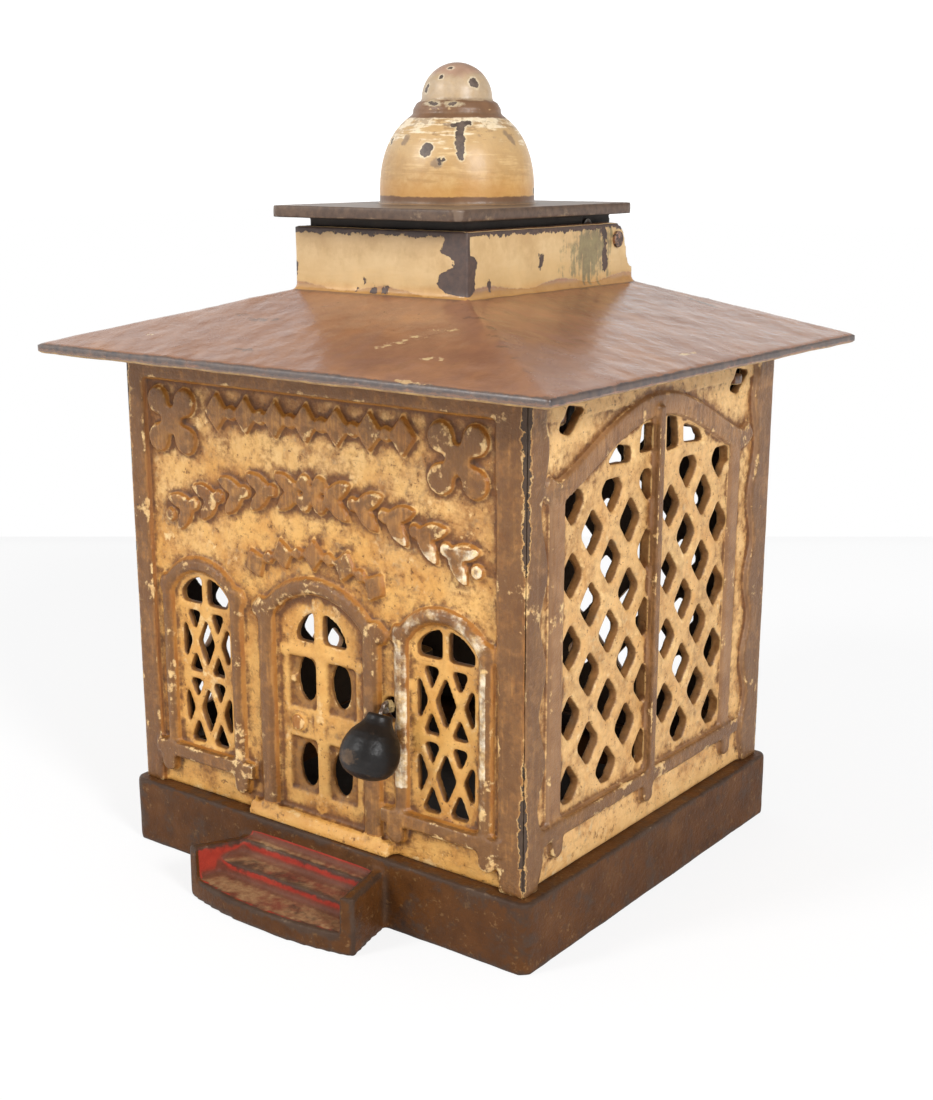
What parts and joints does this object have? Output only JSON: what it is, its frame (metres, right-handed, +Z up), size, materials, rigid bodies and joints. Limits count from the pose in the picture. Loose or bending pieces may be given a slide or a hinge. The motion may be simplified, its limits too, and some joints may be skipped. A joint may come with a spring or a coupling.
{
  "type": "mechanical bank",
  "caption": "Cast iron mechanical bank as a small building with lattice windows and steps; a pull knob opens the domed lid and raises a cashier.",
  "frame": {"origin": "middle of the building's underside", "axes": "+Z up; -Y is the front with the steps and the pull knob; +X to the right seen from the front"},
  "size_m": [0.102, 0.1, 0.1334],
  "materials": {
    "cream_paint": "worn satin",
    "roof_paint": "worn satin",
    "plinth_paint": "worn satin",
    "lid_paint": "worn satin",
    "bare_iron": "satin",
    "pin_steel": "satin",
    "counter_wood": "satin",
    "coat_paint": "satin",
    "face_paint": "satin",
    "knob_paint": "gloss",
    "cord": "matt"
  },
  "bodies": {
    "root": {"base_plinth": "plinth_paint", "bottom_plate": "bare_iron", "base_screws": "pin_steel", "front_wall": "cream_paint", "back_wall": "cream_paint", "left_wall": "cream_paint", "right_wall": "cream_paint", "roof": "roof_paint", "hinge_pin": "pin_steel", "guide_pin": "pin_steel", "cord_inner": "cord"},
    "cupola": {"cupola": "lid_paint", "carrier": "bare_iron", "carrier_rivets": "pin_steel", "cord_stud": "pin_steel", "counter": "counter_wood", "counter_screws": "pin_steel", "cashier_body": "coat_paint", "cashier_head": "face_paint", "cashier_screw": "pin_steel", "cord_lift": "cord"},
    "pull": {"pull_knob": "knob_paint", "knob_wire": "pin_steel", "cord_outer": "cord"}
  },
  "joints": [
    {"name": "cupola_hinge", "type": "hinge", "parent": "root", "child": "cupola", "pos_m": [0, 0.0223, 0.1049], "axis": [-1, 0, 0], "range_deg": [0, 76], "deforming": ["cord_lift"]},
    {"name": "knob_pull", "type": "slide", "parent": "root", "child": "pull", "axis": [0, -1, 0], "range_m": [0, 0.0162], "deforming": ["cord_outer"]}
  ],
  "couplings": [
    {"joint": "knob_pull", "follows": "cupola_hinge", "m_per_rad": 0.0121}
  ]
}
